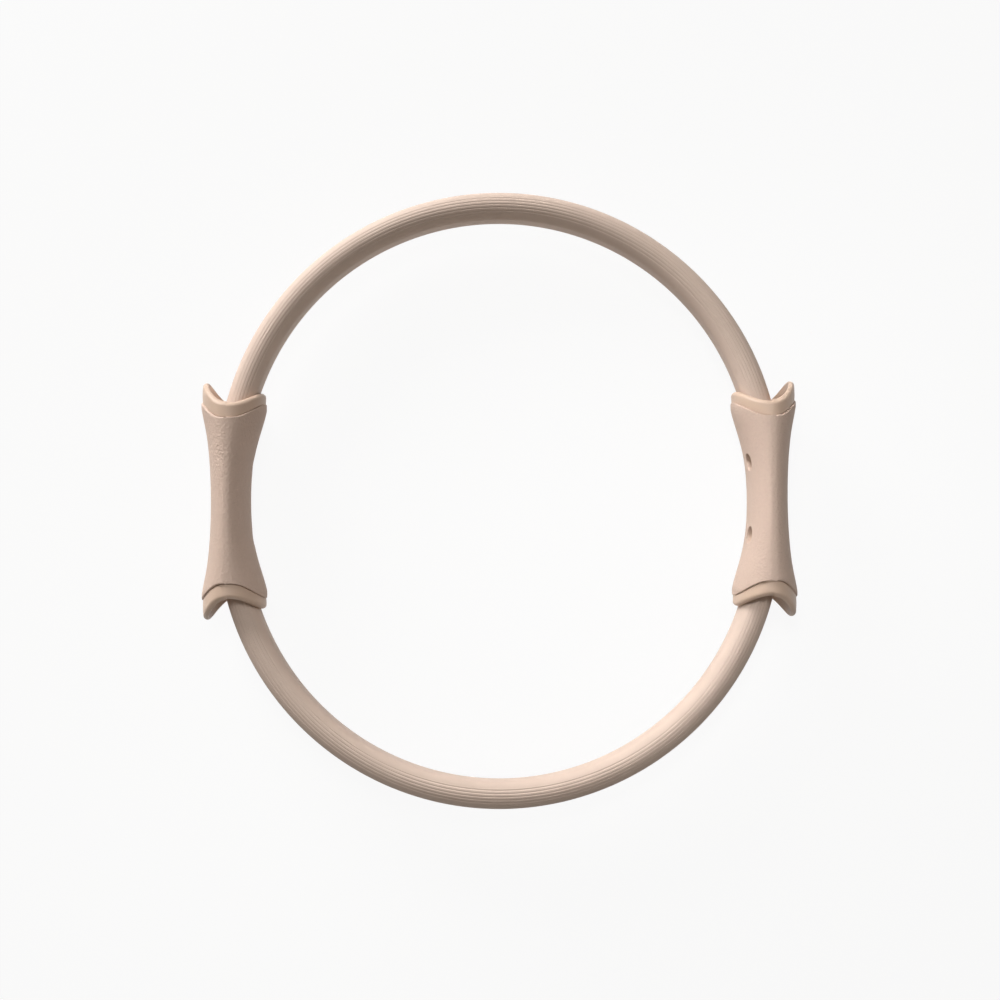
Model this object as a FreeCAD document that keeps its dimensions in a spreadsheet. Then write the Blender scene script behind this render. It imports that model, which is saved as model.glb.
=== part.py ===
"""Pilates ring: two sprung half hoops in ribbed sleeves, plugged into two waisted grips.

The ring lies flat. X runs from grip to grip, Y along the grips and Z is the ring's axis,
with z = 0 on the floor under the grips. Lengths are in millimetres.
"""
import FreeCAD, Part
import math
import os
import Sketcher
from FreeCAD import Placement, Rotation, Vector

SIZES = {
    # hoop: a half circle of strip between straight stretches that lie inside the grips
    "bend_radius": 166.0,
    "straight_half": 16.0,
    "strip_width": 22.0,
    "strip_thickness": 3.0,
    "strip_butt_gap": 3.0,
    "strip_hole": 5.0,
    # sleeve: a round-nosed extrusion, ribbed along both noses
    "sleeve_width": 28.0,
    "sleeve_thickness": 17.0,
    "sleeve_end": 46.0,
    "rib_pitch": 1.95,
    "rib_groove_radius": 0.4,
    # grip sections: half depth away from the hoop and towards it, at stations along the grip
    "grip_half_width": 27.5,
    "edge_overhang": 0.1,
    "outer_waist": 12.5,
    "outer_belly": 13.5,
    "outer_shoulder": 15.8,
    "outer_collar": 18.5,
    "outer_rim": 18.9,
    "outer_mouth": 18.9,
    "inner_waist": 11.1,
    "inner_belly": 13.1,
    "inner_shoulder": 17.9,
    "inner_collar": 21.6,
    "inner_rim": 22.0,
    "inner_mouth": 22.0,
    "belly_station": 26.0,
    "shoulder_station": 44.0,
    "collar_station": 58.0,
    "rim_station": 67.0,
    "mouth_station": 78.0,
    # grip ends: where the rim and the skin stop at the parting line and at each tongue,
    # and the pull of the tongue's curve, as shares of the half width
    "rim_end": 58.1,
    "outer_rim_tongue": 15.1,
    "inner_rim_tongue": 8.5,
    "skin_end": 50.5,
    "outer_skin_tongue": 10.8,
    "inner_skin_tongue": 9.5,
    "tongue_foot": 0.8,
    "tongue_shoulder": 0.5,
    # walls and skins
    "skin_thickness": 2.0,
    "skin_proud": 1.2,
    "skin_edge_round": 1.0,
    "rim_wall": 3.3,
    "lip_round": 2.3,
    "lip_inside_round": 0.8,
    "mouth_floor": 51.0,
    # clamp screws, from the inner shell through the strip into the outer shell
    "screw_station": 22.5,
    "screw_offset": 7.0,
    "screw_shank": 4.0,
    "screw_reach": 8.0,
    "pilot_spare": 0.6,
    "screw_seat": 5.5,
    "head_width": 7.6,
    "head_height": 2.8,
    "head_round": 1.1,
    "cross_length": 4.6,
    "cross_width": 1.0,
    "cross_depth": 1.3,
    "well_width": 10.5,
    # locating pegs between the two shells
    "peg_station": 35.0,
    "peg_offset": 17.5,
    "peg_width": 4.5,
    "peg_height": 3.5,
    # clearances
    "strip_room": 0.2,
    "sleeve_room": 0.3,
    "screw_room": 0.2,
    "thread_room": 0.05,
    "peg_room": 0.15,
    "bond_line": 0.05,
}
RIB_GROOVES = 7
SCREW_PLACES = [(along + "sizes.screw_station", "sizes.screw_offset") for along in ("", "-")]
PEG_PLACES = [
    (along + "sizes.peg_station", across + "sizes.peg_offset")
    for along in ("", "-")
    for across in ("", "-")
]
THROUGH = "2 * sizes.inner_mouth"
# a curve of six poles reaches five eighths of the way to its two middle ones
CROWN_PULL = "8 / 5"

# sketch references: the origin, or the horizontal axis, and an arc's centre
ORIGIN = -1
CENTRE = 3

# orientations: a section across the grip, and an outline seen from outside the ring
ALONG_GRIP = Rotation(Vector(0, 0, 1), Vector(1, 0, 0), Vector(0, 1, 0), "XYZ")
FACING_OUT = Rotation(Vector(0, 1, 0), Vector(0, 0, 1), Vector(1, 0, 0), "XYZ")

doc = FreeCAD.newDocument("pilates_ring")


def make_sheet():
    """One row per size: its name beside an aliased cell with the number."""
    sheet = doc.addObject("Spreadsheet::Sheet", "sizes")
    for row, (alias, value) in enumerate(SIZES.items(), start=1):
        sheet.set("A%d" % row, alias)
        sheet.set("B%d" % row, repr(value))
        sheet.setAlias("B%d" % row, alias)
    doc.recompute()
    return sheet


def bind(thing, **expressions):
    """Bind properties to expressions; a double underscore in a name stands for a dot."""
    for path, expression in expressions.items():
        thing.setExpression(path.replace("__", "."), expression)


def origin_feature(body, role):
    return next(feature for feature in body.Origin.OriginFeatures if feature.Role == role)


def add_body(label, turned, x, y):
    """A body with its origin on the ring's mid plane, turned half round for the lower side."""
    body = doc.addObject("PartDesign::Body", label)
    body.Label = label
    body.Placement = Placement(Vector(), Rotation(Vector(0, 0, 1), 180 if turned else 0))
    bind(body, Placement__Base__x=x, Placement__Base__y=y)
    bind(body, Placement__Base__z="sizes.grip_half_width")
    return body


def add_sketch(body, plane):
    sketch = body.newObject("Sketcher::SketchObject", "sketch")
    sketch.AttachmentSupport = [(origin_feature(body, plane), "")]
    sketch.MapMode = "FlatFace"
    return sketch


def dimension(sketch, name, expression, kind, *geometry):
    """A named dimension that follows an expression of the sheet."""
    value = float(sketch.evalExpression(expression))
    index = sketch.addConstraint(Sketcher.Constraint(kind, *geometry, value))
    sketch.renameConstraint(index, name)
    sketch.setExpression("Constraints." + name, expression)


def join(sketch, kind, *geometry):
    sketch.addConstraint(Sketcher.Constraint(kind, *geometry))


def line(sketch, start, end):
    return sketch.addGeometry(Part.LineSegment(Vector(*start, 0), Vector(*end, 0)))


def closed_chain(sketch, corners):
    """Straight sides from corner to corner and back to the first."""
    after = corners[1:] + corners[:1]
    sides = [line(sketch, start, end) for start, end in zip(corners, after)]
    for side, following in zip(sides, sides[1:] + sides[:1]):
        join(sketch, "Coincident", side, 2, following, 1)
    return sides


def arc(sketch, centre, radius, start, end):
    circle = Part.Circle(Vector(*centre, 0), Vector(0, 0, 1), radius)
    return sketch.addGeometry(Part.ArcOfCircle(circle, math.radians(start), math.radians(end)))


def rectangle(sketch, left, width, half_height):
    """An upright rectangle about the sketch's horizontal axis, sized by expressions."""
    low, high = [sketch.evalExpression(sign + half_height) for sign in ("-1 * ", "1 * ")]
    near = sketch.evalExpression(left)
    far = near + sketch.evalExpression(width)
    corners = [(near, low), (far, low), (far, high), (near, high)]
    sides = closed_chain(sketch, corners)
    for i, side in enumerate(sides):
        join(sketch, "Vertical" if i % 2 else "Horizontal", side)
    dimension(sketch, "left", left, "DistanceX", ORIGIN, 1, sides[0], 1)
    dimension(sketch, "width", width, "DistanceX", sides[0], 1, sides[0], 2)
    dimension(sketch, "low", half_height, "DistanceY", sides[0], 1, ORIGIN, 1)
    dimension(sketch, "high", half_height, "DistanceY", ORIGIN, 1, sides[2], 1)


def strip_sketch(body, room):
    """The hoop's band: a half circle about the body's origin with two straight legs."""
    sketch = add_sketch(body, "XY_Plane")
    far = sheet.bend_radius + sheet.strip_thickness / 2
    near = sheet.bend_radius - sheet.strip_thickness / 2
    end = sheet.strip_butt_gap / 2 - sheet.straight_half
    outer = arc(sketch, (0, 0), far, 0, 180)
    inner = arc(sketch, (0, 0), near, 0, 180)
    for half in (outer, inner):
        join(sketch, "Coincident", half, CENTRE, ORIGIN, 1)
        join(sketch, "PointOnObject", half, 1, ORIGIN)
        join(sketch, "PointOnObject", half, 2, ORIGIN)
    legs = []
    for side, corner in ((1, 1), (-1, 2)):
        outside = line(sketch, (side * far, 0), (side * far, end))
        across = line(sketch, (side * far, end), (side * near, end))
        inside = line(sketch, (side * near, end), (side * near, 0))
        join(sketch, "Tangent", outer, corner, outside, 1)
        join(sketch, "Tangent", inner, corner, inside, 2)
        join(sketch, "Coincident", outside, 2, across, 1)
        join(sketch, "Coincident", across, 2, inside, 1)
        join(sketch, "Horizontal", across)
        legs.append(outside)
    join(sketch, "Equal", *legs)
    half_depth = "(sizes.strip_thickness / 2 + %s)" % room
    dimension(sketch, "outside", "sizes.bend_radius + " + half_depth, "Radius", outer)
    dimension(sketch, "inside", "sizes.bend_radius - " + half_depth, "Radius", inner)
    leg = "sizes.straight_half - sizes.strip_butt_gap / 2"
    dimension(sketch, "leg", leg, "DistanceY", legs[0], 2, legs[0], 1)
    return sketch


def drill_strip(body, turned):
    """A clearance hole for the clamp screw through each leg, in front at the right grip."""
    for leg in (1, -1):
        sketch = add_sketch(body, "YZ_Plane")
        station = "sizes.screw_station - sizes.straight_half"
        offset = "%d * sizes.screw_offset" % (-leg if turned else leg)
        start = Vector(sketch.evalExpression(station), sketch.evalExpression(offset), 0)
        hole = sketch.addGeometry(Part.Circle(start, Vector(0, 0, 1), sheet.strip_hole / 2))
        dimension(sketch, "bore", "sizes.strip_hole", "Diameter", hole)
        dimension(sketch, "station", station, "DistanceX", ORIGIN, 1, hole, CENTRE)
        dimension(sketch, "offset", offset, "DistanceY", ORIGIN, 1, hole, CENTRE)
        drill = body.newObject("PartDesign::Pocket", "screw_hole")
        drill.Profile = sketch
        drill.Reversed = leg > 0
        bind(drill, Length="2 * sizes.bend_radius")


def make_strip(label, turned, room="0"):
    """A bent strip with two legs, or with room given, the slot that the shells keep for it."""
    body = add_body(label, turned, "0", ("-" if turned else "") + "sizes.straight_half")
    pad = body.newObject("PartDesign::Pad", "band")
    pad.Profile = strip_sketch(body, room)
    pad.SideType = "Symmetric"
    bind(pad, Length="sizes.strip_width + 2 * " + room)
    return body


def nose_section(sketch, room):
    """A slot shape across the hoop: two half-round noses joined by flat flanks."""
    bend = sheet.bend_radius
    nose = sheet.sleeve_thickness / 2
    rise = sheet.sleeve_width / 2 - nose
    front = arc(sketch, (bend, rise), nose, 0, 180)
    back = arc(sketch, (bend, -rise), nose, 180, 360)
    outer = line(sketch, (bend + nose, -rise), (bend + nose, rise))
    inner = line(sketch, (bend - nose, rise), (bend - nose, -rise))
    join(sketch, "Tangent", outer, 2, front, 1)
    join(sketch, "Tangent", front, 2, inner, 1)
    join(sketch, "Tangent", inner, 2, back, 1)
    join(sketch, "Tangent", back, 2, outer, 1)
    join(sketch, "Vertical", outer)
    join(sketch, "Vertical", inner)
    centre = "(sizes.sleeve_width - sizes.sleeve_thickness) / 2"
    dimension(sketch, "bend", "sizes.bend_radius", "DistanceX", ORIGIN, 1, front, CENTRE)
    dimension(sketch, "front", centre, "DistanceY", ORIGIN, 1, front, CENTRE)
    dimension(sketch, "back", centre, "DistanceY", back, CENTRE, ORIGIN, 1)
    dimension(sketch, "nose", "sizes.sleeve_thickness / 2 + " + room, "Radius", front)


def rib_sketch(body):
    """Round grooves side by side over both noses, leaving ribs between them."""
    sketch = add_sketch(body, "YZ_Plane")
    nose = "sizes.sleeve_thickness / 2"
    circles = []
    for index in range(RIB_GROOVES):
        across = "%g * sizes.rib_pitch" % (index - (RIB_GROOVES - 1) / 2)
        place = "sizes.bend_radius + " + across
        rise = "sizes.sleeve_width / 2 - {0} + sqrt(({0}) ^ 2 - ({1}) ^ 2)".format(nose, across)
        for name, side in (("front", 1), ("back", -1)):
            start = Vector(sketch.evalExpression(place), side * sketch.evalExpression(rise), 0)
            groove = Part.Circle(start, Vector(0, 0, 1), sheet.rib_groove_radius)
            circle = sketch.addGeometry(groove)
            label = "%s_%d" % (name, index)
            ends = (ORIGIN, 1, circle, CENTRE) if side > 0 else (circle, CENTRE, ORIGIN, 1)
            dimension(sketch, label + "_across", place, "DistanceX", ORIGIN, 1, circle, CENTRE)
            dimension(sketch, label + "_rise", rise, "DistanceY", *ends)
            circles.append(circle)
    dimension(sketch, "groove", "sizes.rib_groove_radius", "Radius", circles[0])
    for circle in circles[1:]:
        join(sketch, "Equal", circles[0], circle)
    return sketch


def sweep_round(body, kind, name, profile, angle):
    """Turn a profile at the crown both ways about the hoop's axis."""
    turn = body.newObject(kind, name)
    turn.Profile = profile
    turn.ReferenceAxis = (origin_feature(body, "Z_Axis"), [""])
    turn.Midplane = True
    bind(turn, Angle=angle)
    return turn


def make_sleeve(label, turned):
    """The ribbed sleeve on one strip, from one grip's socket round to the other's."""
    body = add_body(label, turned, "0", ("-" if turned else "") + "sizes.straight_half")
    section = add_sketch(body, "YZ_Plane")
    nose_section(section, "0")
    half_slot = "(sizes.strip_thickness / 2 + sizes.strip_room)"
    half_width = "(sizes.strip_width / 2 + sizes.strip_room)"
    rectangle(section, "sizes.bend_radius - " + half_slot, "2 * " + half_slot, half_width)
    angle = "180 deg - 2 * asin((sizes.sleeve_end - sizes.straight_half) / sizes.bend_radius)"
    sweep_round(body, "PartDesign::Revolution", "extrusion", section, angle)
    sweep_round(body, "PartDesign::Groove", "ribs", rib_sketch(body), angle)
    return body


def make_sleeve_room(label, turned):
    """The socket that the shells keep clear for a sleeve's ends."""
    body = add_body(label, turned, "0", ("-" if turned else "") + "sizes.straight_half")
    section = add_sketch(body, "YZ_Plane")
    nose_section(section, "sizes.sleeve_room")
    deep = "(sizes.sleeve_end - sizes.straight_half - sizes.sleeve_room)"
    angle = "180 deg - 2 * asin(%s / sizes.bend_radius)" % deep
    sweep_round(body, "PartDesign::Revolution", "socket", section, angle)
    return body


def grip_form(half, inset):
    """A waisted loft of ellipses along the grip, drawn in by an inset expression."""
    stations = ["waist", "belly", "shoulder", "collar", "rim", "mouth"]
    places = [(-1, name) for name in reversed(stations[1:])] + [(1, name) for name in stations]
    sections = []
    for side, name in places:
        ring = doc.addObject("Part::Ellipse", "section")
        ring.Placement = Placement(Vector(), ALONG_GRIP)
        station = "0" if name == "waist" else "%d * sizes.%s_station" % (side, name)
        bind(ring, Placement__Base__x="sizes.bend_radius", Placement__Base__y=station)
        bind(ring, Placement__Base__z="sizes.grip_half_width")
        bind(ring, MinorRadius="sizes.%s_%s - (%s)" % (half, name, inset))
        width = "sizes.grip_half_width + sizes.edge_overhang - (%s)" % inset
        bind(ring, MajorRadius=width)
        sections.append(ring)
    loft = doc.addObject("Part::Loft", half + "_form")
    loft.Sections = sections
    loft.Solid = True
    return loft


def tongue_curve(sketch, name, facing, end, tongue):
    """A bowed end as one curve from side to side: level at the parting and steep at its flanks."""
    flank = ["1", "sizes.tongue_foot", "sizes.tongue_shoulder"]
    rise = ["0", "0", CROWN_PULL]
    places = []
    for side, shares, pulls in ((1, flank, rise), (-1, flank[::-1], rise[::-1])):
        for share, pull in zip(shares, pulls):
            along = "%d * (%s + %s * (%s))" % (facing, end, pull, tongue)
            places.append((along, "%d * %s * sizes.grip_half_width" % (-facing * side, share)))
    poles = [Vector(*[sketch.evalExpression(part) for part in place], 0) for place in places]
    curve = Part.BezierCurve()
    curve.setPoles(poles)
    spline = sketch.addGeometry(curve.toBSpline())
    for index, (along, across) in enumerate(places):
        pole = sketch.addGeometry(Part.Circle(poles[index], Vector(0, 0, 1), 1), True)
        join(sketch, "InternalAlignment:Sketcher::BSplineControlPoint", pole, CENTRE, spline, index)
        join(sketch, "Weight", pole, 1.0)
        label = "%s_%d" % (name, index)
        dimension(sketch, label + "_along", along, "DistanceX", ORIGIN, 1, pole, CENTRE)
        dimension(sketch, label + "_across", across, "DistanceY", ORIGIN, 1, pole, CENTRE)
    return spline, poles[0], poles[-1]


def tongue_prism(half, end, tongue):
    """One half of the grip's space, cut to an outline with a bowed tongue at each end."""
    sketch = doc.addObject("Sketcher::SketchObject", half + "_outline")
    sketch.Placement = Placement(Vector(), FACING_OUT)
    bind(sketch, Placement__Base__x="sizes.bend_radius")
    bind(sketch, Placement__Base__z="sizes.grip_half_width")
    right, low_right, high_right = tongue_curve(sketch, "right", 1, end, tongue)
    left, high_left, low_left = tongue_curve(sketch, "left", -1, end, tongue)
    high = sketch.addGeometry(Part.LineSegment(high_right, high_left))
    low = sketch.addGeometry(Part.LineSegment(low_left, low_right))
    for one, other in ((high, left), (left, low), (low, right), (right, high)):
        join(sketch, "Coincident", one, 2, other, 1)
    prism = doc.addObject("Part::Extrusion", half + "_prism")
    prism.Base = sketch
    prism.DirMode = "Normal"
    prism.Solid = True
    prism.Reversed = half == "inner"
    bind(prism, LengthFwd="2 * sizes.%s_mouth" % half)
    return prism


def combine(kind, base, tool):
    result = doc.addObject(kind, "form")
    result.Base = base
    result.Tool = tool
    return result


def keep(base, tool):
    return combine("Part::Common", base, tool)


def cut(base, *tools):
    for tool in tools:
        base = combine("Part::Cut", base, tool)
    return base


def cross_rod(width, start, reach, y, z="0"):
    """A round tool along X, with its start and reach counted outwards from the hoop line."""
    rod = doc.addObject("Part::Cylinder", "rod")
    rod.Placement = Placement(Vector(), Rotation(Vector(0, 1, 0), 90))
    bind(rod, Radius="(%s) / 2" % width, Height=reach)
    bind(rod, Placement__Base__x="sizes.bend_radius + (%s)" % start)
    bind(rod, Placement__Base__y=y, Placement__Base__z="sizes.grip_half_width + (%s)" % z)
    return rod


def end_boxes():
    """The two stretches of grip beyond the floors of its mouths."""
    boxes = []
    for start in ("sizes.mouth_floor", "-sizes.mouth_floor - sizes.mouth_station"):
        box = doc.addObject("Part::Box", "mouth_space")
        size = "4 * sizes.grip_half_width"
        bind(box, Length=size, Width="sizes.mouth_station", Height=size)
        bind(box, Placement__Base__x="sizes.bend_radius - 2 * sizes.grip_half_width")
        bind(box, Placement__Base__y=start, Placement__Base__z="-sizes.grip_half_width")
        boxes.append(box)
    return boxes


def round_edges(label, solid, edges):
    """Round edges of a solid, each given with its radius, and give the result its label."""
    rounds = []
    for i, edge in enumerate(solid.Shape.Edges, start=1):
        rounds += [(i, radius, radius) for other, radius in edges if edge.isSame(other)]
    if not rounds:
        raise ValueError("no edge to round on " + label)
    fillet = doc.addObject("Part::Fillet", label)
    fillet.Base = solid
    fillet.Edges = rounds
    fillet.Label = label
    return fillet


def end_edges(solid, end):
    """The long edges of each bowed end face beyond an end, from the outer one inwards."""
    pairs = []
    for face in solid.Shape.Faces:
        if not isinstance(face.Surface, Part.SurfaceOfExtrusion):
            continue
        edges = []
        for edge in face.Edges:
            middle = edge.valueAt((edge.FirstParameter + edge.LastParameter) / 2)
            off_parting = abs(middle.x - sheet.bend_radius) > sheet.bond_line
            nearest = min(abs(vertex.Y) for vertex in edge.Vertexes)
            if off_parting and nearest > end - sheet.skin_proud:
                edges.append(edge)
        if edges:
            pairs.append(sorted(edges, key=lambda edge: edge.Length, reverse=True))
    return pairs


def shell_blank(half, rooms):
    """A hard half of the right grip: round-lipped rims and a bed for the skin between them."""
    rim = grip_form(half, "sizes.skin_proud")
    bed = grip_form(half, "sizes.skin_thickness")
    mouth = grip_form(half, "sizes.skin_proud + sizes.rim_wall")
    outline = tongue_prism(half, "sizes.rim_end", "sizes.%s_rim_tongue" % half)
    skin_reach = "sizes.skin_end + sizes.bond_line"
    rebate = tongue_prism(half, skin_reach, "sizes.%s_skin_tongue" % half)
    blank = cut(keep(rim, outline), *[keep(mouth, box) for box in end_boxes()])
    doc.recompute()
    lips = []
    for outside, inside in end_edges(blank, sheet.rim_end):
        lips += [(outside, sheet.lip_round), (inside, sheet.lip_inside_round)]
    rounded = round_edges(half + "_blank", blank, lips)
    return cut(rounded, cut(rebate, bed), *rooms)


def make_outer_shell(rooms):
    """The half that the screws bite into, with pegs that find holes in the other half."""
    shell = shell_blank("outer", rooms)
    pilot = "sizes.screw_shank + 2 * sizes.thread_room"
    depth = "sizes.screw_reach + sizes.pilot_spare"
    for place in SCREW_PLACES:
        shell = cut(shell, cross_rod(pilot, "0", depth, *place))
    reach = "2 * sizes.peg_height"
    pegged = doc.addObject("Part::MultiFuse", "right_outer_shell")
    pegged.Shapes = [shell] + [
        cross_rod("sizes.peg_width", "-sizes.peg_height", reach, *place) for place in PEG_PLACES
    ]
    pegged.Label = "right_outer_shell"
    return pegged


def make_inner_shell(rooms):
    """The half with a well for each screw head, a passage for its shank and the peg holes."""
    shell = shell_blank("inner", rooms)
    passage = "sizes.screw_shank + 2 * sizes.screw_room"
    for place in SCREW_PLACES:
        well = cross_rod("sizes.well_width", "-sizes.screw_seat - " + THROUGH, THROUGH, *place)
        shell = cut(shell, well, cross_rod(passage, "-" + THROUGH, THROUGH, *place))
    hole = "sizes.peg_width + 2 * sizes.peg_room"
    depth = "(sizes.peg_height + sizes.peg_room)"
    for place in PEG_PLACES:
        shell = cut(shell, cross_rod(hole, "-" + depth, depth, *place))
    shell.Label = "right_inner_shell"
    return shell


def make_grip(half):
    """The soft skin on one half of the right grip, standing a little proud of the rims."""
    label = "right_%s_grip" % half
    face = grip_form(half, "0")
    back = grip_form(half, "sizes.skin_thickness - sizes.bond_line")
    outline = tongue_prism(half, "sizes.skin_end", "sizes.%s_skin_tongue" % half)
    skin = cut(keep(face, outline), back)
    if half == "inner":
        for place in SCREW_PLACES:
            skin = cut(skin, cross_rod("sizes.well_width", "-" + THROUGH, THROUGH, *place))
    doc.recompute()
    proud = [(edges[0], sheet.skin_edge_round) for edges in end_edges(skin, sheet.skin_end)]
    return round_edges(label, skin, proud)


def screw_profile(body):
    """Half the screw's outline: a pan head and a plain shank along the body's X axis."""
    sketch = add_sketch(body, "XY_Plane")
    seat = -sheet.screw_seat
    crown = seat - sheet.head_height
    rim = sheet.head_width / 2
    shank = sheet.screw_shank / 2
    tip = sheet.screw_reach
    corners = [(crown, 0), (crown, rim), (seat, rim), (seat, shank), (tip, shank), (tip, 0)]
    sides = closed_chain(sketch, corners)
    for i, side in enumerate(sides):
        join(sketch, "Horizontal" if i % 2 else "Vertical", side)
    join(sketch, "PointOnObject", sides[0], 1, ORIGIN)
    dimension(sketch, "seat", "sizes.screw_seat", "DistanceX", sides[2], 1, ORIGIN, 1)
    dimension(sketch, "head", "sizes.head_height", "DistanceX", sides[1], 1, sides[1], 2)
    dimension(sketch, "tip", "sizes.screw_reach", "DistanceX", ORIGIN, 1, sides[4], 1)
    dimension(sketch, "rim", "sizes.head_width / 2", "DistanceY", sides[0], 1, sides[0], 2)
    dimension(sketch, "shank", "sizes.screw_shank / 2", "DistanceY", sides[4], 2, sides[4], 1)
    return sketch


def make_screw(label, station):
    """A pan-head clamp screw along X, its head at the bottom of a well in the inner pad."""
    body = add_body(label, False, "sizes.bend_radius", station)
    bind(body, Placement__Base__z="sizes.grip_half_width + sizes.screw_offset")
    turned = body.newObject("PartDesign::Revolution", "turned")
    turned.Profile = screw_profile(body)
    turned.ReferenceAxis = (origin_feature(body, "X_Axis"), [""])
    turned.Angle = 360
    doc.recompute()
    rings = [(edge.BoundBox.XMin, i) for i, edge in enumerate(turned.Shape.Edges, start=1)
             if edge.Closed]
    dome = body.newObject("PartDesign::Fillet", "dome")
    dome.Base = (turned, ["Edge%d" % min(rings)[1]])
    bind(dome, Radius="sizes.head_round")
    for width, height in (("cross_width", "cross_length"), ("cross_length", "cross_width")):
        slot = add_sketch(body, "YZ_Plane")
        bind(slot, AttachmentOffset__Base__z="-sizes.screw_seat - sizes.head_height")
        rectangle(slot, "-sizes.%s / 2" % width, "sizes." + width, "sizes.%s / 2" % height)
        drive = body.newObject("PartDesign::Pocket", "drive")
        drive.Profile = slot
        drive.Reversed = True
        bind(drive, Length="sizes.cross_depth")
    return body


def turn_left(piece):
    """The left grip's piece: the right one turned half round, mirrored across and then over."""
    across = doc.addObject("Part::Mirroring", "across")
    across.Source = piece
    across.Normal = Vector(1, 0, 0)
    twin = doc.addObject("Part::Mirroring", piece.Label.replace("right", "left"))
    twin.Source = across
    twin.Normal = Vector(0, 0, 1)
    bind(twin, Base__z="sizes.grip_half_width")
    twin.Label = piece.Label.replace("right", "left")
    return twin


def make_hoop():
    springs = [make_strip("upper_spring", False), make_strip("lower_spring", True)]
    for spring, turned in zip(springs, (False, True)):
        drill_strip(spring, turned)
    return springs + [make_sleeve("upper_sleeve", False), make_sleeve("lower_sleeve", True)]


def make_right_grip():
    rooms = [
        make_strip("upper_slot", False, "sizes.strip_room"),
        make_strip("lower_slot", True, "sizes.strip_room"),
        make_sleeve_room("upper_socket", False),
        make_sleeve_room("lower_socket", True),
    ]
    return [
        make_outer_shell(rooms),
        make_inner_shell(rooms),
        make_grip("outer"),
        make_grip("inner"),
        make_screw("right_upper_screw", "sizes.screw_station"),
        make_screw("right_lower_screw", "-sizes.screw_station"),
    ]


def check(pieces):
    doc.recompute()
    for thing in doc.Objects:
        if {"Invalid", "Error"} & set(thing.State):
            raise ValueError("%s (%s) did not recompute" % (thing.Label, thing.Name))
    for piece in pieces:
        shape = piece.Shape
        if shape.isNull() or not shape.isValid() or len(shape.Solids) != 1:
            raise ValueError(piece.Label + " is not one sound solid")


def export(pieces):
    os.makedirs("parts", exist_ok=True)
    for piece in pieces:
        piece.Shape.exportStep("parts/%s.step" % piece.Label)


sheet = make_sheet()
right_grip = make_right_grip()
nodes = make_hoop() + right_grip + [turn_left(piece) for piece in right_grip]
check(nodes)
export(nodes)
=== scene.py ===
"""Dresses the pilates ring: ribbed sleeves, sprung strips, grained skins, rims and screws.

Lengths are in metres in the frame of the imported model. The ring lies flat on its grips,
X runs from grip to grip, Y along the grips and Z is the ring's axis.
"""
import math
from collections import namedtuple

import bmesh
import bpy
from bpy.props import FloatProperty, FloatVectorProperty, IntProperty, PointerProperty
from mathutils import Matrix, Vector
from mathutils.bvhtree import BVHTree


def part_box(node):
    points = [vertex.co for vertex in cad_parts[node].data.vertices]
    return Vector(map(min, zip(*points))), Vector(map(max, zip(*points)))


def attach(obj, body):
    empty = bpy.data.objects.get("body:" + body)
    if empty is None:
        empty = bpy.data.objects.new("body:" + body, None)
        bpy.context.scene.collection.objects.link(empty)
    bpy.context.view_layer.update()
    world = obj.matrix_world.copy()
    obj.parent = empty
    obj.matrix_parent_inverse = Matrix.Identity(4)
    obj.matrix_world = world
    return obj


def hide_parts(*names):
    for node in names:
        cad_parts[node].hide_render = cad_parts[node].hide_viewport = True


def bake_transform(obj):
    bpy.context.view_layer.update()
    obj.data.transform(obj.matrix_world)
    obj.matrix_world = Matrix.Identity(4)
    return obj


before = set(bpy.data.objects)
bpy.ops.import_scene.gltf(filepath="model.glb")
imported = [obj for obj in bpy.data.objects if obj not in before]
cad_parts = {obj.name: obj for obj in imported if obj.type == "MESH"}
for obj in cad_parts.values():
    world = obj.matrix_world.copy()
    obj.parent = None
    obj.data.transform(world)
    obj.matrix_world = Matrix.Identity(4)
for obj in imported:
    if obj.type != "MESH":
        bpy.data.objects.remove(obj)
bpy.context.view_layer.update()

bl_info = {
    "name": "Pilates ring",
    "version": (1, 0, 0),
    "blender": (4, 5, 0),
    "location": "View3D > Sidebar > Pilates ring",
    "description": "Builds the dressed pilates ring and a plain studio around it",
    "category": "Object",
}

MM = 0.001
FLOOR_GAP = 0.2 * MM

# how near points count as one, and as lying on a cut
WELD = 1e-6
ON_CUT = 1e-7

# turns from which an edge is shaded as sharp, and from which the end of a skin is rounded
CREASE = math.radians(35)
END_TURN = math.radians(60)
END_FACETS = 4

# the hoop's own measures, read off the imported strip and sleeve, apart from the strip's thickness
STRIP_LOW, STRIP_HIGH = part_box("upper_spring")
SLEEVE_LOW, SLEEVE_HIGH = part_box("upper_sleeve")
STRIP_THICKNESS = 3 * MM
BEND_RADIUS = STRIP_HIGH.x - STRIP_THICKNESS / 2
STRAIGHT_HALF = STRIP_HIGH.y - STRIP_HIGH.x
MID_HEIGHT = (STRIP_LOW.z + STRIP_HIGH.z) / 2
SLEEVE_THICKNESS = 2 * (SLEEVE_HIGH.y - STRAIGHT_HALF - BEND_RADIUS)

# where a groove of the sleeve gets its points, as shares of half its width
GROOVE_POINTS = (-1, -0.7, 0, 0.7, 1)

# poles of a skin's bowed end, across as shares of its half width, and along as shares of its rise
END_ACROSS = (1, 0.8, 0.5, -0.5, -0.8, -1)
END_ALONG = (0, 0, 1.6, 1.6, 0, 0)
CURVE_HALVINGS = 30

# which way along X each side of the ring lies, and each half of the right grip
SIDES = {"right": 1, "left": -1}
HALVES = {"outer": 1, "inner": -1}
LEVELS = ("upper", "lower")
QUARTERS = [(level, side) for level in LEVELS for side in SIDES]

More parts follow.
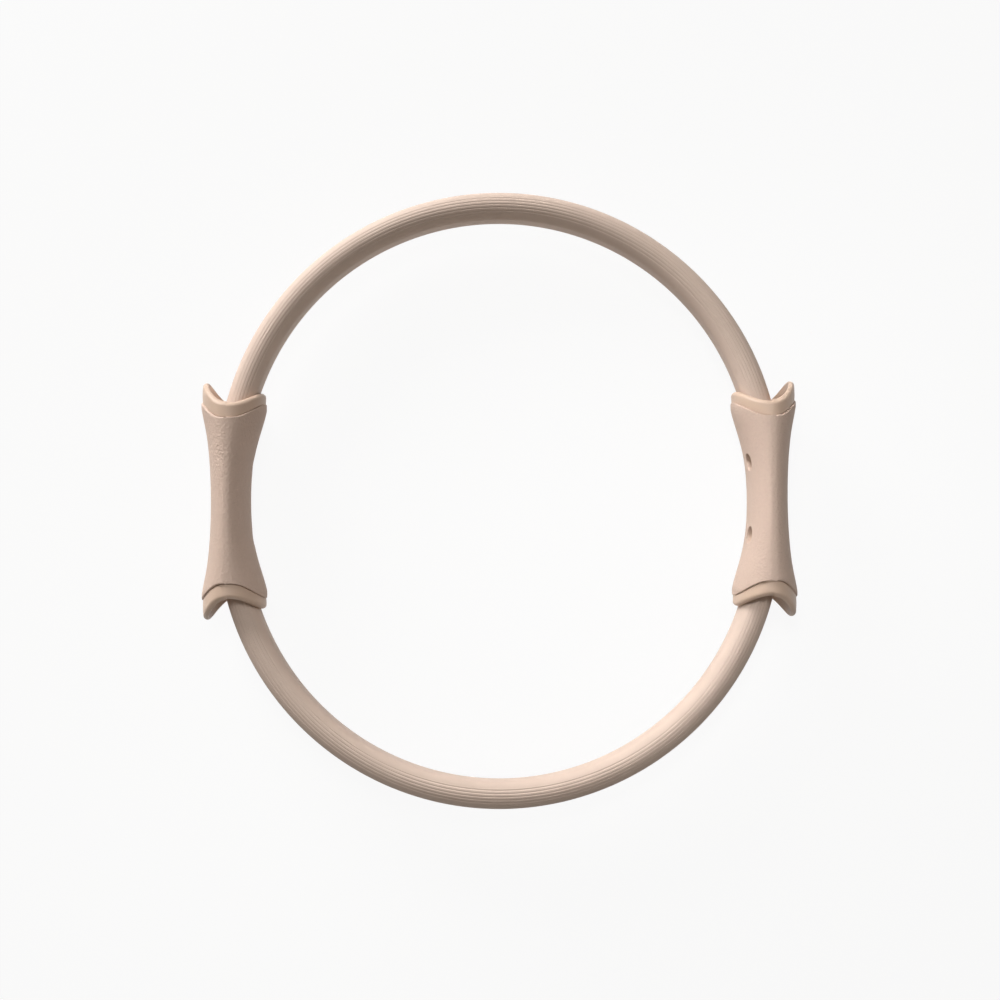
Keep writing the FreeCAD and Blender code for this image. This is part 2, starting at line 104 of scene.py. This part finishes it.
# a square lamp: where it hangs, what it faces on the ring's mid plane, its width and its beam
Lamp = namedtuple("Lamp", "place target width beam")
LAMPS = {
    "key": Lamp((-1.3, 1.9, 0.6), (0, 0), 1.2, math.radians(180)),
    "side": Lamp((0, 0.3, 0.85), (BEND_RADIUS, 0), 0.3, math.radians(22)),
    "front": Lamp((-0.1, 0.25, 0.9), (-0.1, -0.1), 0.3, math.radians(36)),
}
SENSOR_WIDTH_MM = 36

# strength of the light all round and of the white room that the camera sees, and the share of
# plain white in the paper that it sees
ROOM_LIGHT = 0.14
ROOM_WHITE = 0.94
PAPER_WHITE = 0.92


def linear(hex_colour):
    """An sRGB hex colour such as #DCC8BA as linear red, green, blue and alpha."""
    channels = [int(hex_colour[i:i + 2], 16) / 255 for i in (1, 3, 5)]
    return [
        c / 12.92 if c <= 0.04045 else ((c + 0.055) / 1.055) ** 2.4 for c in channels
    ] + [1.0]


def colour_property(name, description, hex_colour):
    """A colour that the panel shows, given as sRGB hex."""
    return FloatVectorProperty(
        name=name, description=description, default=linear(hex_colour),
        subtype="COLOR", size=4, min=0, max=1,
    )


def length_property(name, description, default):
    """A length in metres that the panel shows."""
    return FloatProperty(
        name=name, description=description, default=default,
        subtype="DISTANCE", unit="LENGTH", min=0, precision=5,
    )


class HoopSettings(bpy.types.PropertyGroup):
    """The ribbed sleeves and the strips inside them."""

    sleeve_width: length_property(
        "Sleeve width", "Size of the sleeve along the ring's axis", 28 * MM
    )
    slot_room: length_property(
        "Slot room", "Room between the strip and the slot in its sleeve", 0.2 * MM
    )
    rib_count: IntProperty(
        name="Grooves", description="Grooves on each nose of the sleeve", default=5, min=1
    )
    rib_pitch: length_property("Rib pitch", "Spacing of the grooves", 1.95 * MM)
    groove_radius: length_property("Groove radius", "Half the width of a groove", 0.5 * MM)
    groove_depth: length_property("Groove depth", "Depth of a groove", 0.18 * MM)
    nose_facets: IntProperty(
        name="Nose facets", description="Facets round both noses", default=60, min=12
    )
    arc_steps: IntProperty(
        name="Arc steps", description="Steps along a quarter of the hoop", default=90, min=8
    )
    mouth: length_property(
        "Mouth", "Distance from the middle at which the hoop is held by a grip", 147 * MM
    )
    sleeve_colour: colour_property("Sleeve", "Colour of the sleeves", "#E0CABB")
    strip_colour: colour_property("Strip", "Colour of the strips", "#DAD3B8")


class GripSettings(bpy.types.PropertyGroup):
    """The skins, shells and screws of the two grips."""

    half_width: length_property(
        "Half width", "Half the width of the grip's oval section", 27.6 * MM
    )
    skin_thickness: length_property("Skin", "Thickness of the soft skin", 1.95 * MM)
    skin_end: length_property(
        "Skin end", "Where the skin stops at the parting line, from the waist", 50.5 * MM
    )
    skin_edge: length_property("Skin edge", "Rounding of the skin's end edges", 1.5 * MM)
    well_width: length_property("Well", "Width of a screw well", 10.5 * MM)
    well_station: length_property("Well place", "Distance of a well from the waist", 22.5 * MM)
    well_rise: length_property("Well rise", "Height of a right well over the mid plane", 7 * MM)
    rows_along: IntProperty(
        name="Rows along", description="Faces along a skin", default=100, min=20
    )
    rows_round: IntProperty(
        name="Rows round", description="Faces round a skin", default=56, min=12
    )
    skin_colour: colour_property("Skin", "Colour of the grained skins", "#D9C0B0")
    rim_colour: colour_property("Rim", "Colour of the moulded rims", "#D6BBA6")
    screw_colour: colour_property("Screw", "Colour of the screws", "#B9BAB8")


class StageSettings(bpy.types.PropertyGroup):
    """Camera, floor and lights."""

    camera_distance: length_property(
        "Camera distance", "From the ring's mid plane to the camera", 1.0
    )
    camera_aside: FloatVectorProperty(
        name="Camera aside", description="Shift of the camera off the ring's axis, in X and Y",
        default=(-0.02, -0.02), size=2, subtype="TRANSLATION", unit="LENGTH",
    )
    camera_roll: FloatProperty(
        name="Camera roll", description="Turn of the camera about its own view",
        default=math.radians(-0.3), subtype="ANGLE", unit="ROTATION",
    )
    lens: FloatProperty(
        name="Lens", description="Focal length in millimetres", default=57.9, unit="CAMERA"
    )
    key_power: FloatProperty(
        name="Key light", description="Power of the large light", default=63, unit="POWER"
    )
    side_power: FloatProperty(
        name="Side light", description="Power of the light on the right grip", default=0.1,
        unit="POWER",
    )
    front_power: FloatProperty(
        name="Front light", description="Power of the light on the lower half", default=0.13,
        unit="POWER",
    )
    room_colour: colour_property("Room", "Colour of the light all round", "#FFF5E8")
    floor_size: length_property("Floor", "Width of the floor", 8.0)
    floor_colour: colour_property("Floor", "Colour of the floor", "#F4F3F1")


def add_node(tree, kind, inputs=None, **settings):
    """A new node with its settings, and its inputs set or linked by name or number."""
    node = tree.nodes.new(kind)
    for name, value in settings.items():
        setattr(node, name, value)
    for name, value in (inputs or {}).items():
        if isinstance(value, bpy.types.NodeSocket):
            tree.links.new(value, node.inputs[name])
        else:
            node.inputs[name].default_value = value
    return node


def new_material(name):
    """A node material without any nodes."""
    material = bpy.data.materials.new(name)
    material.use_nodes = True
    material.node_tree.nodes.clear()
    return material


def own_place(tree):
    """A point's place in its piece's own coordinates."""
    return add_node(tree, "ShaderNodeTexCoord").outputs["Object"]


def noise(tree, place, size, roughness, detail=3.0):
    """Soft random mottling whose patches have about the size given."""
    inputs = {
        "Vector": place, "Scale": 1 / size, "Detail": detail, "Roughness": roughness
    }
    return add_node(tree, "ShaderNodeTexNoise", inputs).outputs["Fac"]


def relief(tree, height, strength, depth):
    """The surface's direction, as if the height rose and fell by the depth."""
    inputs = {"Height": height, "Strength": strength, "Distance": depth}
    return add_node(tree, "ShaderNodeBump", inputs).outputs["Normal"]


def coat(tree, shader):
    """Makes a shader's output the look of the whole surface."""
    add_node(tree, "ShaderNodeOutputMaterial", {"Surface": shader})


def tint(tree, factor, colour, shade):
    """The colour, darkened to a share of itself where the factor falls to nought."""
    dark = [channel * shade for channel in colour[:3]] + [1.0]
    ramp = add_node(tree, "ShaderNodeValToRGB", {"Fac": factor})
    ramp.color_ramp.elements[0].color = dark
    ramp.color_ramp.elements[1].color = colour
    return ramp.outputs["Color"]


def grained_rubber(colour):
    """Thermoplastic rubber moulded in a grained tool: matte, with fine leather-like pores.

    The real pores are taken as 0.7 mm across and are drawn nearly twice as large, so that they show.
    """
    material = new_material("Thermoplastic rubber, moulded leather grain")
    tree = material.node_tree
    place = own_place(tree)
    pore_size = 1.3 * MM
    pores = add_node(
        tree, "ShaderNodeTexVoronoi",
        {"Vector": place, "Scale": 1 / pore_size, "Randomness": 1.0}, feature="SMOOTH_F1",
    )
    wrinkles = noise(tree, place, size=1.8 * MM, roughness=0.6)
    height = add_node(
        tree, "ShaderNodeMath", {0: pores.outputs["Distance"], 1: wrinkles}, operation="ADD"
    )
    shader = add_node(tree, "ShaderNodeBsdfPrincipled", {
        "Base Color": tint(tree, wrinkles, colour, shade=0.88),
        "Roughness": 0.62,
        "IOR": 1.5,
        "Specular IOR Level": 0.35,
        "Normal": relief(tree, height.outputs[0], strength=0.65, depth=0.38 * MM),
    })
    coat(tree, shader.outputs["BSDF"])
    return material


def extruded_rubber(colour):
    """Soft rubber drawn through a die: pale, dull and faintly clouded."""
    material = new_material("Foamed rubber, extruded")
    tree = material.node_tree
    place = own_place(tree)
    clouds = noise(tree, place, size=14 * MM, roughness=0.5)
    pores = noise(tree, place, size=0.8 * MM, roughness=0.6)
    shader = add_node(tree, "ShaderNodeBsdfPrincipled", {
        "Base Color": tint(tree, clouds, colour, shade=0.94),
        "Roughness": 0.6,
        "IOR": 1.5,
        "Specular IOR Level": 0.35,
        "Normal": relief(tree, pores, strength=0.2, depth=0.06 * MM),
    })
    coat(tree, shader.outputs["BSDF"])
    return material


def moulded_plastic(colour):
    """Polypropylene from a lightly etched tool: smooth, warm and satin."""
    material = new_material("Polypropylene, moulded satin")
    tree = material.node_tree
    place = own_place(tree)
    flow = noise(tree, place, size=9 * MM, roughness=0.5)
    etch = noise(tree, place, size=0.5 * MM, roughness=0.5, detail=2.0)
    shader = add_node(tree, "ShaderNodeBsdfPrincipled", {
        "Base Color": tint(tree, flow, colour, shade=0.95),
        "Roughness": 0.45,
        "IOR": 1.49,
        "Normal": relief(tree, etch, strength=0.12, depth=0.04 * MM),
    })
    coat(tree, shader.outputs["BSDF"])
    return material


def glass_fibre(colour):
    """Pultruded glass fibre: hard, yellowish resin with fine threads along the strip."""
    material = new_material("Glass fibre, pultruded")
    tree = material.node_tree
    thread_length, thread_width = 20 * MM, 0.5 * MM
    drawn_out = add_node(
        tree, "ShaderNodeMapping",
        {"Vector": own_place(tree), "Scale": (1, 1, thread_length / thread_width)},
    )
    threads = noise(tree, drawn_out.outputs["Vector"], size=thread_length, roughness=0.6)
    shader = add_node(tree, "ShaderNodeBsdfPrincipled", {
        "Base Color": tint(tree, threads, colour, shade=0.8),
        "Roughness": 0.3,
        "IOR": 1.52,
    })
    coat(tree, shader.outputs["BSDF"])
    return material


def zinc_steel(colour):
    """Zinc-plated steel: a grey metal with a soft, slightly mottled shine."""
    material = new_material("Steel, zinc plated")
    tree = material.node_tree
    mottle = noise(tree, own_place(tree), size=1.2 * MM, roughness=0.6)
    dullness = add_node(
        tree, "ShaderNodeMapRange", {"Value": mottle, "To Min": 0.25, "To Max": 0.45}
    )
    shader = add_node(tree, "ShaderNodeBsdfPrincipled", {
        "Base Color": tint(tree, mottle, colour, shade=0.85),
        "Metallic": 1.0,
        "Roughness": dullness.outputs["Result"],
    })
    coat(tree, shader.outputs["BSDF"])
    return material


def seen_directly(tree):
    """One for a ray from the camera, in a reflection or through glass, and nought for others."""
    light_path = add_node(tree, "ShaderNodeLightPath")
    seen = light_path.outputs["Is Camera Ray"]
    for ray in ("Is Glossy Ray", "Is Transmission Ray"):
        either = add_node(
            tree, "ShaderNodeMath", {0: seen, 1: light_path.outputs[ray]}, operation="MAXIMUM"
        )
        seen = either.outputs[0]
    return seen


def studio_paper(colour):
    """Seamless studio paper: nearly white to the camera, with a faint shadow left on it."""
    material = new_material("Paper, white seamless")
    tree = material.node_tree
    paper = add_node(tree, "ShaderNodeBsdfDiffuse", {"Color": colour})
    white = add_node(tree, "ShaderNodeEmission", {"Strength": 1.0})
    share = add_node(
        tree, "ShaderNodeMath", {0: seen_directly(tree), 1: PAPER_WHITE}, operation="MULTIPLY"
    )
    mix = add_node(
        tree, "ShaderNodeMixShader",
        {0: share.outputs[0], 1: paper.outputs["BSDF"], 2: white.outputs["Emission"]},
    )
    coat(tree, mix.outputs["Shader"])
    return material


def finish_mesh(mesh, name, material):
    """Turns a bmesh into a smooth-shaded object of the scene with one material."""
    data = bpy.data.meshes.new(name)
    mesh.to_mesh(data)
    mesh.free()
    data.shade_smooth()
    data.set_sharp_from_angle(angle=CREASE)
    data.materials.append(material)
    piece = bpy.data.objects.new(name, data)
    bpy.context.scene.collection.objects.link(piece)
    return piece


def turn_to_side(mesh, side):
    """Turns a piece made for the right half round to the left, about the grips' direction."""
    if side == "left":
        half_turn = Matrix.Rotation(math.pi, 3, "Y")
        bmesh.ops.rotate(mesh, cent=(0, 0, MID_HEIGHT), matrix=half_turn, verts=mesh.verts)


def turn_to_quarter(mesh, level, side):
    """Puts a quarter made at the upper right in its own place on the hoop."""
    if level == "lower":
        bmesh.ops.scale(mesh, vec=(1, -1, 1), verts=mesh.verts)
    turn_to_side(mesh, side)
    bmesh.ops.recalc_face_normals(mesh, faces=mesh.faces)


def bend_with_grip(piece):
    """Bakes the quarter's place into its mesh."""
    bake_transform(piece)


def groove_places(hoop):
    """Where the grooves run, from the middle of a nose."""
    middle = (hoop.rib_count - 1) / 2
    return [(index - middle) * hoop.rib_pitch for index in range(hoop.rib_count)]


def sleeve_outline(mesh, hoop):
    """The sleeve's ribbed outline, flat, with its thickness along X and its width along Y."""
    nose = SLEEVE_THICKNESS / 2
    rise = hoop.sleeve_width / 2 - nose
    half_facet = Matrix.Rotation(math.pi / hoop.nose_facets, 4, "Z")
    bmesh.ops.create_circle(mesh, segments=hoop.nose_facets, radius=nose, matrix=half_facet)
    for level in (1, -1):
        end = [vert for vert in mesh.verts if vert.co.y * level > 0]
        bmesh.ops.translate(mesh, vec=(0, level * rise, 0), verts=end)
    for place in groove_places(hoop):
        for cut in GROOVE_POINTS:
            bmesh.ops.bisect_plane(
                mesh, geom=mesh.verts[:] + mesh.edges[:], dist=ON_CUT,
                plane_co=(place + cut * hoop.groove_radius, 0, 0), plane_no=(1, 0, 0),
            )
    for vert in mesh.verts:
        centre = Vector((0, math.copysign(rise, vert.co.y), 0))
        for place in groove_places(hoop):
            aside = abs(vert.co.x - place)
            if aside < hoop.groove_radius:
                sink = hoop.groove_depth * math.sqrt(1 - (aside / hoop.groove_radius) ** 2)
                vert.co += (centre - vert.co).normalized() * sink


def strip_slot(mesh, hoop):
    """The slot for the strip, as a wire rectangle in the same plane as the outline."""
    half_depth = STRIP_THICKNESS / 2 + hoop.slot_room
    half_width = (STRIP_HIGH.z - STRIP_LOW.z) / 2 + hoop.slot_room
    corner_turn = Matrix.Rotation(math.pi / 4, 4, "Z")
    slot = bmesh.ops.create_circle(
        mesh, segments=4, radius=math.sqrt(2), matrix=corner_turn
    )["verts"]
    bmesh.ops.scale(mesh, vec=(half_depth, half_width, 1), verts=slot)


def sleeve_quarter(hoop):
    """A quarter of the sleeved hoop, swept from the crown down into the right grip."""
    mesh = bmesh.new()
    sleeve_outline(mesh, hoop)
    strip_slot(mesh, hoop)
    # stands the outline up across the crown, its thickness along Y and its width along Z
    crown = Matrix(((0, 0, 1, 0), (1, 0, 0, STRAIGHT_HALF + BEND_RADIUS),
                    (0, 1, 0, MID_HEIGHT), (0, 0, 0, 1)))
    bmesh.ops.transform(mesh, matrix=crown, verts=mesh.verts)
    depth = SLEEVE_LOW.y - STRAIGHT_HALF
    arc = math.pi / 2 - math.asin(depth / (BEND_RADIUS - SLEEVE_THICKNESS / 2))
    section = mesh.verts[:] + mesh.edges[:]
    start = mesh.edges[:]
    swept = bmesh.ops.spin(
        mesh, geom=section, cent=(0, STRAIGHT_HALF, 0), axis=(0, 0, 1),
        angle=-arc, steps=hoop.arc_steps,
    )
    end = [item for item in swept["geom_last"] if isinstance(item, bmesh.types.BMEdge)]
    for rim in (start, end):
        bmesh.ops.triangle_fill(mesh, use_beauty=True, edges=rim)
    return mesh


def strip_quarter():
    """A quarter of the strip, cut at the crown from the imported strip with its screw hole."""
    mesh = bmesh.new()
    mesh.from_mesh(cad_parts["upper_spring"].data)
    bmesh.ops.remove_doubles(mesh, verts=mesh.verts, dist=WELD)
    cut = bmesh.ops.bisect_plane(
        mesh, geom=mesh.verts[:] + mesh.edges[:] + mesh.faces[:], dist=ON_CUT,
        plane_co=(0, 0, 0), plane_no=(-1, 0, 0), clear_outer=True,
    )["geom_cut"]
    rim = [item for item in cut if isinstance(item, bmesh.types.BMEdge)]
    bmesh.ops.triangle_fill(mesh, use_beauty=True, edges=rim)
    return mesh


def on_curve(poles, place):
    """One coordinate of a Bezier curve, at a place from nought to one along it."""
    order = len(poles) - 1
    return sum(
        math.comb(order, i) * place ** i * (1 - place) ** (order - i) * pole
        for i, pole in enumerate(poles)
    )


class GripForm:
    """The face of one packed skin of the right grip, measured on the side without wells."""

    def __init__(self, half, grip):
        node = "right_%s_grip" % half
        self.outwards = HALVES[half]
        self.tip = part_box(node)[1].y
        self.side = (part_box(node)[1].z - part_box(node)[0].z) / 2
        self.half_width = grip.half_width
        self.skin_end = grip.skin_end
        # measured clear of the rounded end, and on the far side of the mid plane from the wells
        self.reach = self.tip - 2 * grip.skin_thickness
        self.gauge = -grip.well_rise
        packed = bmesh.new()
        packed.from_mesh(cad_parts[node].data)
        self.face = BVHTree.FromBMesh(packed)
        packed.free()

    def end(self, across):
        """Where the bowed end lies along the grip, at a distance across it."""
        share = min(1, abs(across) / self.side)
        side, middle = 0, 0.5
        for _ in range(CURVE_HALVINGS):
            place = (side + middle) / 2
            if on_curve(END_ACROSS, place) > share:
                side = place
            else:
                middle = place
        return self.skin_end + (self.tip - self.skin_end) * on_curve(END_ALONG, middle)

    def depth(self, along):
        """Half depth of the oval section at a place along the grip."""
        station = max(-self.reach, min(self.reach, along))
        away = Vector((self.outwards, 0, 0))
        start = Vector((BEND_RADIUS, station, MID_HEIGHT + self.gauge)) + away
        found = self.face.ray_cast(start, -away)[0]
        if found is None:
            raise ValueError("the packed skin has no face at %.4f m" % station)
        return abs(found.x - BEND_RADIUS) / math.sqrt(1 - (self.gauge / self.half_width) ** 2)

    def across(self, turn):
        """Distance from the mid plane at a turn round the section, level on the two lands."""
        return max(-self.side, min(self.side, self.half_width * math.sin(turn)))

    def point(self, along, turn):
        """The place on the face, along the grip and at a turn round its section."""
        bulge = self.outwards * self.depth(along) * math.cos(turn)
        return Vector((BEND_RADIUS + bulge, along, MID_HEIGHT + self.across(turn)))


def open_wells(mesh, form, grip):
    """Clears the faces over each screw well and draws the hole's edge to a true circle."""
    radius = grip.well_width / 2
    for level in (1, -1):
        centre = Vector((level * grip.well_station, MID_HEIGHT + grip.well_rise))
        covered = [
            face for face in mesh.faces
            if (face.calc_center_median().yz - centre).length < radius
        ]
        bmesh.ops.delete(mesh, geom=covered, context="FACES")
        for vert in mesh.verts:
            aside = vert.co.yz - centre
            if vert.is_boundary and aside.length < 2 * radius:
                place = centre + aside.normalized() * radius
                vert.co = form.point(place.x, math.asin((place.y - MID_HEIGHT) / form.half_width))


def skin_mesh(half, grip):
    """A soft skin of the right grip, a crowned oval face and its back, and the face's points."""
    form = GripForm(half, grip)
    mesh = bmesh.new()
    bmesh.ops.create_grid(
        mesh, x_segments=grip.rows_along, y_segments=grip.rows_round, size=1
    )
    for vert in mesh.verts:
        turn = vert.co.y * math.pi / 2
        vert.co = form.point(vert.co.x * form.end(form.across(turn)), turn)
    if half == "inner":
        open_wells(mesh, form, grip)
        bmesh.ops.reverse_faces(mesh, faces=mesh.faces)
    mesh.normal_update()
    front = mesh.verts[:]
    backed = bmesh.ops.extrude_face_region(mesh, geom=mesh.faces[:], use_keep_orig=True)
    for vert in backed["geom"]:
        if isinstance(vert, bmesh.types.BMVert):
            vert.co -= vert.normal * grip.skin_thickness
    bmesh.ops.recalc_face_normals(mesh, faces=mesh.faces)
    return mesh, front


def round_skin_ends(mesh, front, grip):
    """Rounds the front edges of the ends and wells, and leaves the parting line sharp."""
    on_front = set(front)
    edges = [
        edge for edge in mesh.edges
        if on_front.issuperset(edge.verts)
        and edge.calc_face_angle(0) > END_TURN
        and max(abs(vert.co.x - BEND_RADIUS) for vert in edge.verts) > grip.skin_thickness
    ]
    bmesh.ops.bevel(
        mesh, geom=edges, offset=grip.skin_edge, segments=END_FACETS, profile=0.5,
        affect="EDGES", material=-1, clamp_overlap=True,
    )


def lay_floor(stage):
    """A wide sheet of paper just under the grips."""
    mesh = bmesh.new()
    bmesh.ops.create_grid(mesh, x_segments=1, y_segments=1, size=stage.floor_size / 2)
    bmesh.ops.translate(mesh, vec=(0, 0, -FLOOR_GAP), verts=mesh.verts)
    floor = finish_mesh(mesh, "floor", studio_paper(stage.floor_colour))


def light_room(scene, stage):
    """A pale room: dim, even light all round, and nearly white where it is seen."""
    world = bpy.data.worlds.new("studio")
    world.use_nodes = True
    tree = world.node_tree
    tree.nodes.clear()
    room = add_node(
        tree, "ShaderNodeBackground", {"Color": stage.room_colour, "Strength": ROOM_LIGHT}
    )
    white = add_node(
        tree, "ShaderNodeBackground", {"Color": linear("#FFFFFF"), "Strength": ROOM_WHITE}
    )
    mix = add_node(
        tree, "ShaderNodeMixShader",
        {0: seen_directly(tree), 1: room.outputs[0], 2: white.outputs[0]},
    )
    add_node(tree, "ShaderNodeOutputWorld", {"Surface": mix.outputs["Shader"]})
    scene.world = world


def hang_light(name, lamp, power):
    """Hangs a square soft light that faces its target on the ring's mid plane."""
    panel = bpy.data.lights.new(name, "AREA")
    panel.shape = "SQUARE"
    panel.size = lamp.width
    panel.energy = power
    panel.spread = lamp.beam
    light = bpy.data.objects.new(name, panel)
    light.location = lamp.place
    aim = Vector((*lamp.target, MID_HEIGHT)) - light.location
    light.rotation_euler = aim.to_track_quat("-Z", "Y").to_euler()
    bpy.context.scene.collection.objects.link(light)


def set_camera(scene, stage):
    """A camera that looks down on the middle of the ring, from a little off its axis."""
    lens = bpy.data.cameras.new("camera")
    lens.lens = stage.lens
    lens.sensor_width = SENSOR_WIDTH_MM
    camera = bpy.data.objects.new("camera", lens)
    back = Vector((*stage.camera_aside, stage.camera_distance))
    camera.location = back + Vector((0, 0, MID_HEIGHT))
    level = Vector((0, 1, 0)).cross(back).normalized()
    upright = Matrix((level, back.cross(level).normalized(), back.normalized())).transposed()
    camera.rotation_euler = (upright @ Matrix.Rotation(stage.camera_roll, 3, "Z")).to_euler()
    scene.collection.objects.link(camera)
    scene.camera = camera


class RING_OT_sleeves(bpy.types.Operator):
    """Make the ribbed sleeves, in quarters"""

    bl_idname = "pilates_ring.sleeves"
    bl_label = "Ribbed sleeves"

    def execute(self, context):
        hoop = context.scene.ring_hoop
        material = extruded_rubber(hoop.sleeve_colour)
        for level, side in QUARTERS:
            mesh = sleeve_quarter(hoop)
            turn_to_quarter(mesh, level, side)
            piece = finish_mesh(mesh, "%s_%s_sleeve" % (level, side), material)
            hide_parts(level + "_sleeve")
            bend_with_grip(piece)
        return {"FINISHED"}


class RING_OT_strips(bpy.types.Operator):
    """Make the sprung strips, in quarters"""

    bl_idname = "pilates_ring.strips"
    bl_label = "Sprung strips"

    def execute(self, context):
        hoop = context.scene.ring_hoop
        material = glass_fibre(hoop.strip_colour)
        for level, side in QUARTERS:
            mesh = strip_quarter()
            turn_to_quarter(mesh, level, side)
            piece = finish_mesh(mesh, "%s_%s_strip" % (level, side), material)
            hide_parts(level + "_spring")
            bend_with_grip(piece)
        return {"FINISHED"}


class RING_OT_skins(bpy.types.Operator):
    """Make the soft grained skins of both grips"""

    bl_idname = "pilates_ring.skins"
    bl_label = "Grip skins"

    def execute(self, context):
        grip = context.scene.ring_grip
        material = grained_rubber(grip.skin_colour)
        for side in SIDES:
            for half in HALVES:
                mesh, front = skin_mesh(half, grip)
                round_skin_ends(mesh, front, grip)
                turn_to_side(mesh, side)
                piece = finish_mesh(mesh, "%s_%s_skin" % (side, half), material)
                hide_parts("%s_%s_grip" % (side, half))
                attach(piece, side + "_handle")
        return {"FINISHED"}


class RING_OT_shells(bpy.types.Operator):
    """Give the hard shells and their rims a moulded finish"""

    bl_idname = "pilates_ring.shells"
    bl_label = "Grip shells"

    def execute(self, context):
        material = moulded_plastic(context.scene.ring_grip.rim_colour)
        for side in SIDES:
            for half in HALVES:
                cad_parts["%s_%s_shell" % (side, half)].material_slots[0].material = material
        return {"FINISHED"}


class RING_OT_screws(bpy.types.Operator):
    """Give the clamp screws a plated finish"""

    bl_idname = "pilates_ring.screws"
    bl_label = "Clamp screws"

    def execute(self, context):
        material = zinc_steel(context.scene.ring_grip.screw_colour)
        for side in SIDES:
            for level in LEVELS:
                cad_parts["%s_%s_screw" % (side, level)].material_slots[0].material = material
        return {"FINISHED"}


class RING_OT_stage(bpy.types.Operator):
    """Lay the floor, hang the lights and set up the camera"""

    bl_idname = "pilates_ring.stage"
    bl_label = "Studio"

    def execute(self, context):
        stage = context.scene.ring_stage
        lay_floor(stage)
        light_room(context.scene, stage)
        for name, lamp in LAMPS.items():
            hang_light(name + "_light", lamp, getattr(stage, name + "_power"))
        set_camera(context.scene, stage)
        context.scene.view_settings.view_transform = "Standard"
        return {"FINISHED"}


class RING_PT_panel(bpy.types.Panel):
    """Lists the ring's pieces and sizes"""

    bl_idname = "RING_PT_panel"
    bl_label = "Pilates ring"
    bl_space_type = "VIEW_3D"
    bl_region_type = "UI"
    bl_category = "Pilates ring"

    def draw(self, context):
        layout = self.layout
        for operator in OPERATORS:
            layout.operator(operator.bl_idname)
        for name, group in SETTINGS.items():
            box = layout.box()
            settings = getattr(context.scene, name)
            for prop in group.__annotations__:
                box.prop(settings, prop)


OPERATORS = (
    RING_OT_sleeves, RING_OT_strips, RING_OT_skins, RING_OT_shells, RING_OT_screws, RING_OT_stage
)
SETTINGS = {"ring_hoop": HoopSettings, "ring_grip": GripSettings, "ring_stage": StageSettings}


def register():
    """Adds the settings, the operators and the panel to Blender."""
    for group in SETTINGS.values():
        bpy.utils.register_class(group)
    for name, group in SETTINGS.items():
        setattr(bpy.types.Scene, name, PointerProperty(type=group))
    for operator in OPERATORS:
        bpy.utils.register_class(operator)
    bpy.utils.register_class(RING_PT_panel)


def unregister():
    """Takes the panel, the operators and the settings out again."""
    bpy.utils.unregister_class(RING_PT_panel)
    for operator in reversed(OPERATORS):
        bpy.utils.unregister_class(operator)
    for name, group in SETTINGS.items():
        delattr(bpy.types.Scene, name)
        bpy.utils.unregister_class(group)


def main():
    """Builds the ring piece by piece."""
    register()
    bpy.ops.pilates_ring.sleeves()
    bpy.ops.pilates_ring.strips()
    bpy.ops.pilates_ring.skins()
    bpy.ops.pilates_ring.shells()
    bpy.ops.pilates_ring.screws()
    bpy.ops.pilates_ring.stage()
    bpy.context.view_layer.update()


if __name__ == "__main__":
    main()
